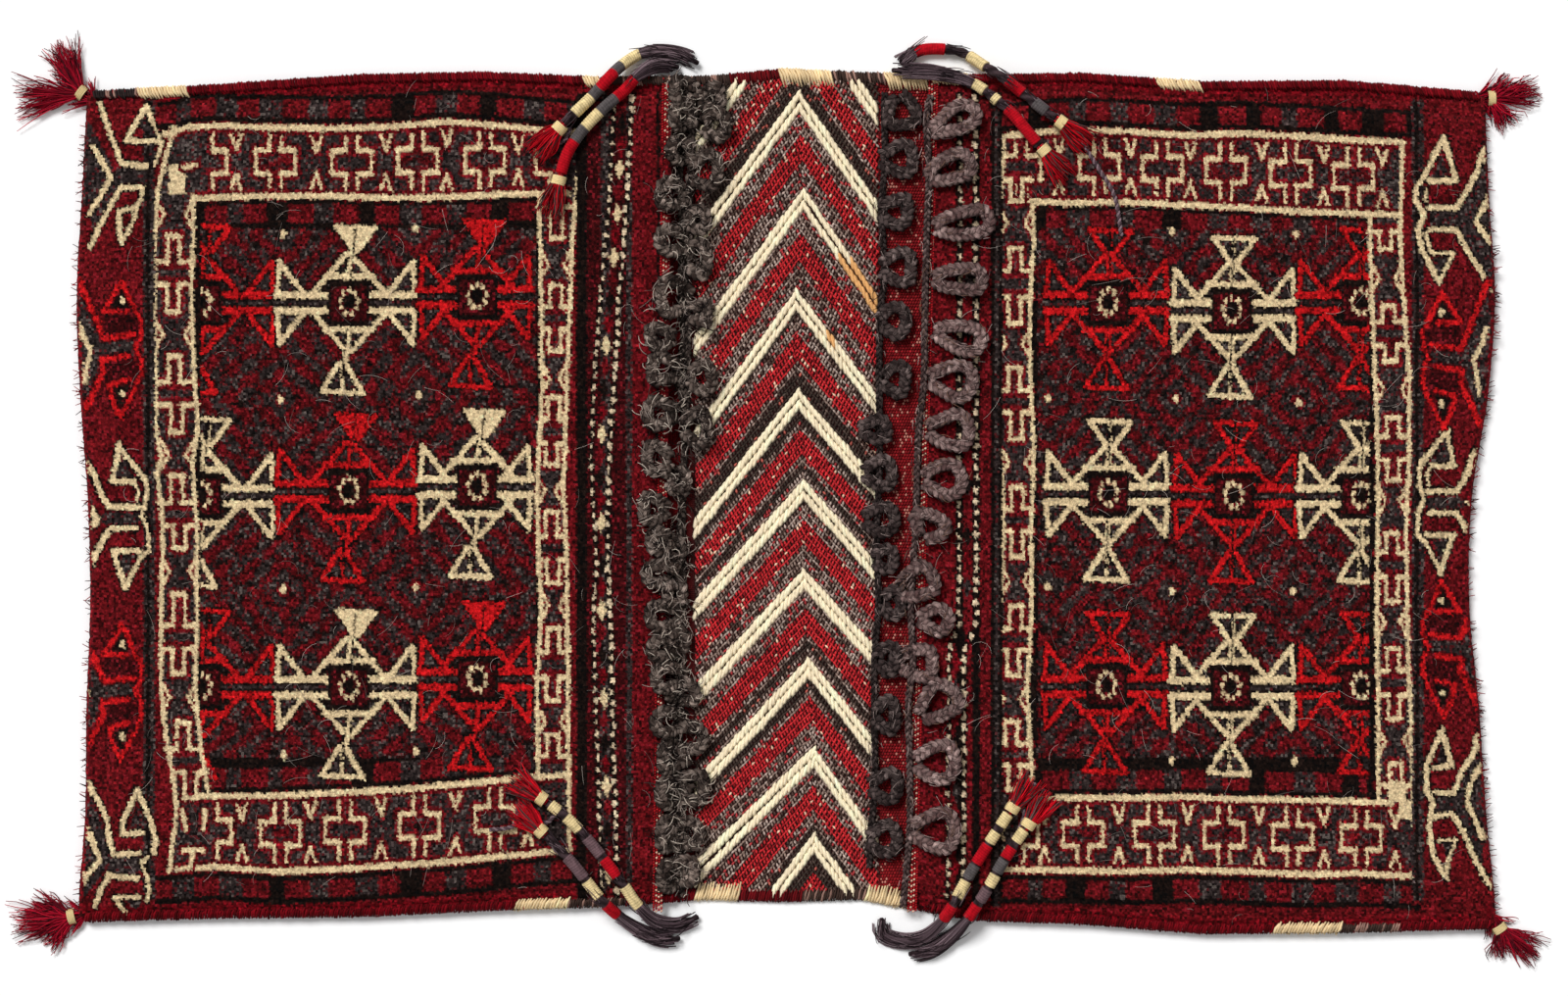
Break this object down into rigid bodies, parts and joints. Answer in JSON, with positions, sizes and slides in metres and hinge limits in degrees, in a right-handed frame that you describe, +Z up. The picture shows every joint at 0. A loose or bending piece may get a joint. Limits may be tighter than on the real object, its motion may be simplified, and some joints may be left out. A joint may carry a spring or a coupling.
{
  "type": "woven saddle bag",
  "caption": "Woven saddle bag lying flat: a folded strip with pile-faced pockets at both ends, a chevron-banded bridge, braided closure loops, wrapped cords and tassels.",
  "frame": {"origin": "middle of the underside, on the floor", "axes": "+X along the bag from the west fold to the east fold, +Y across it, +Z up out of the pile faces"},
  "size_m": [1.2587, 0.7605, 0.0301],
  "materials": {
    "madder_wool": "dark red wool, cut pile on the faces and plain weave on the back",
    "scarlet_wool": "bright red wool, cut pile or loose yarn",
    "cream_wool": "undyed cream wool, cut pile or weft wrapping",
    "goat_hair": "plaited dark goat hair",
    "umber_wool": "overcast brown, cream and red yarn",
    "wrapped_hair_cord": "twisted hair cord wrapped with cream, red and grey yarn"
  },
  "bodies": {
    "root": {"woven_cloth": "madder_wool", "north_binding": "umber_wool", "south_binding": "umber_wool", "west_front_loops": "goat_hair", "west_bridge_loops": "goat_hair", "east_bridge_loops": "goat_hair", "east_front_loops": "goat_hair", "cord_northwest_upper": "wrapped_hair_cord", "cord_northwest_lower": "wrapped_hair_cord", "cord_northeast_upper": "wrapped_hair_cord", "cord_northeast_lower": "wrapped_hair_cord", "cord_southwest_upper": "wrapped_hair_cord", "cord_southwest_lower": "wrapped_hair_cord", "cord_southeast_upper": "wrapped_hair_cord", "cord_southeast_lower": "wrapped_hair_cord", "tassel_northwest_upper": "scarlet_wool", "tassel_northwest_lower": "scarlet_wool", "tassel_northeast_upper": "scarlet_wool", "tassel_northeast_lower": "scarlet_wool", "tassel_southwest_upper": "scarlet_wool", "tassel_southwest_lower": "scarlet_wool", "tassel_southeast_upper": "scarlet_wool", "tassel_southeast_lower": "scarlet_wool", "tuft_northwest": "madder_wool", "tuft_northeast": "madder_wool", "tuft_southwest": "madder_wool", "tuft_southeast": "madder_wool", "west_border_frame": "cream_wool", "east_border_frame": "cream_wool", "west_star_outer_north": "scarlet_wool", "west_star_outer_centre": "cream_wool", "west_star_outer_south": "scarlet_wool", "west_star_middle_north": "cream_wool", "west_star_middle_centre": "scarlet_wool", "west_star_middle_south": "cream_wool", "west_star_mouth_north": "scarlet_wool", "west_star_mouth_centre": "cream_wool", "west_star_mouth_south": "scarlet_wool", "east_star_outer_north": "scarlet_wool", "east_star_outer_centre": "cream_wool", "east_star_outer_south": "scarlet_wool", "east_star_middle_north": "cream_wool", "east_star_middle_centre": "scarlet_wool", "east_star_middle_south": "cream_wool", "east_star_mouth_north": "scarlet_wool", "east_star_mouth_centre": "cream_wool", "east_star_mouth_south": "scarlet_wool", "bridge_chevron_1": "cream_wool", "bridge_chevron_2": "cream_wool", "bridge_chevron_3": "cream_wool", "bridge_chevron_4": "cream_wool", "bridge_chevron_5": "cream_wool", "bridge_chevron_6": "cream_wool", "bridge_chevron_7": "cream_wool", "bridge_chevron_8": "cream_wool", "bridge_chevron_9": "cream_wool"}
  },
  "joints": []
}
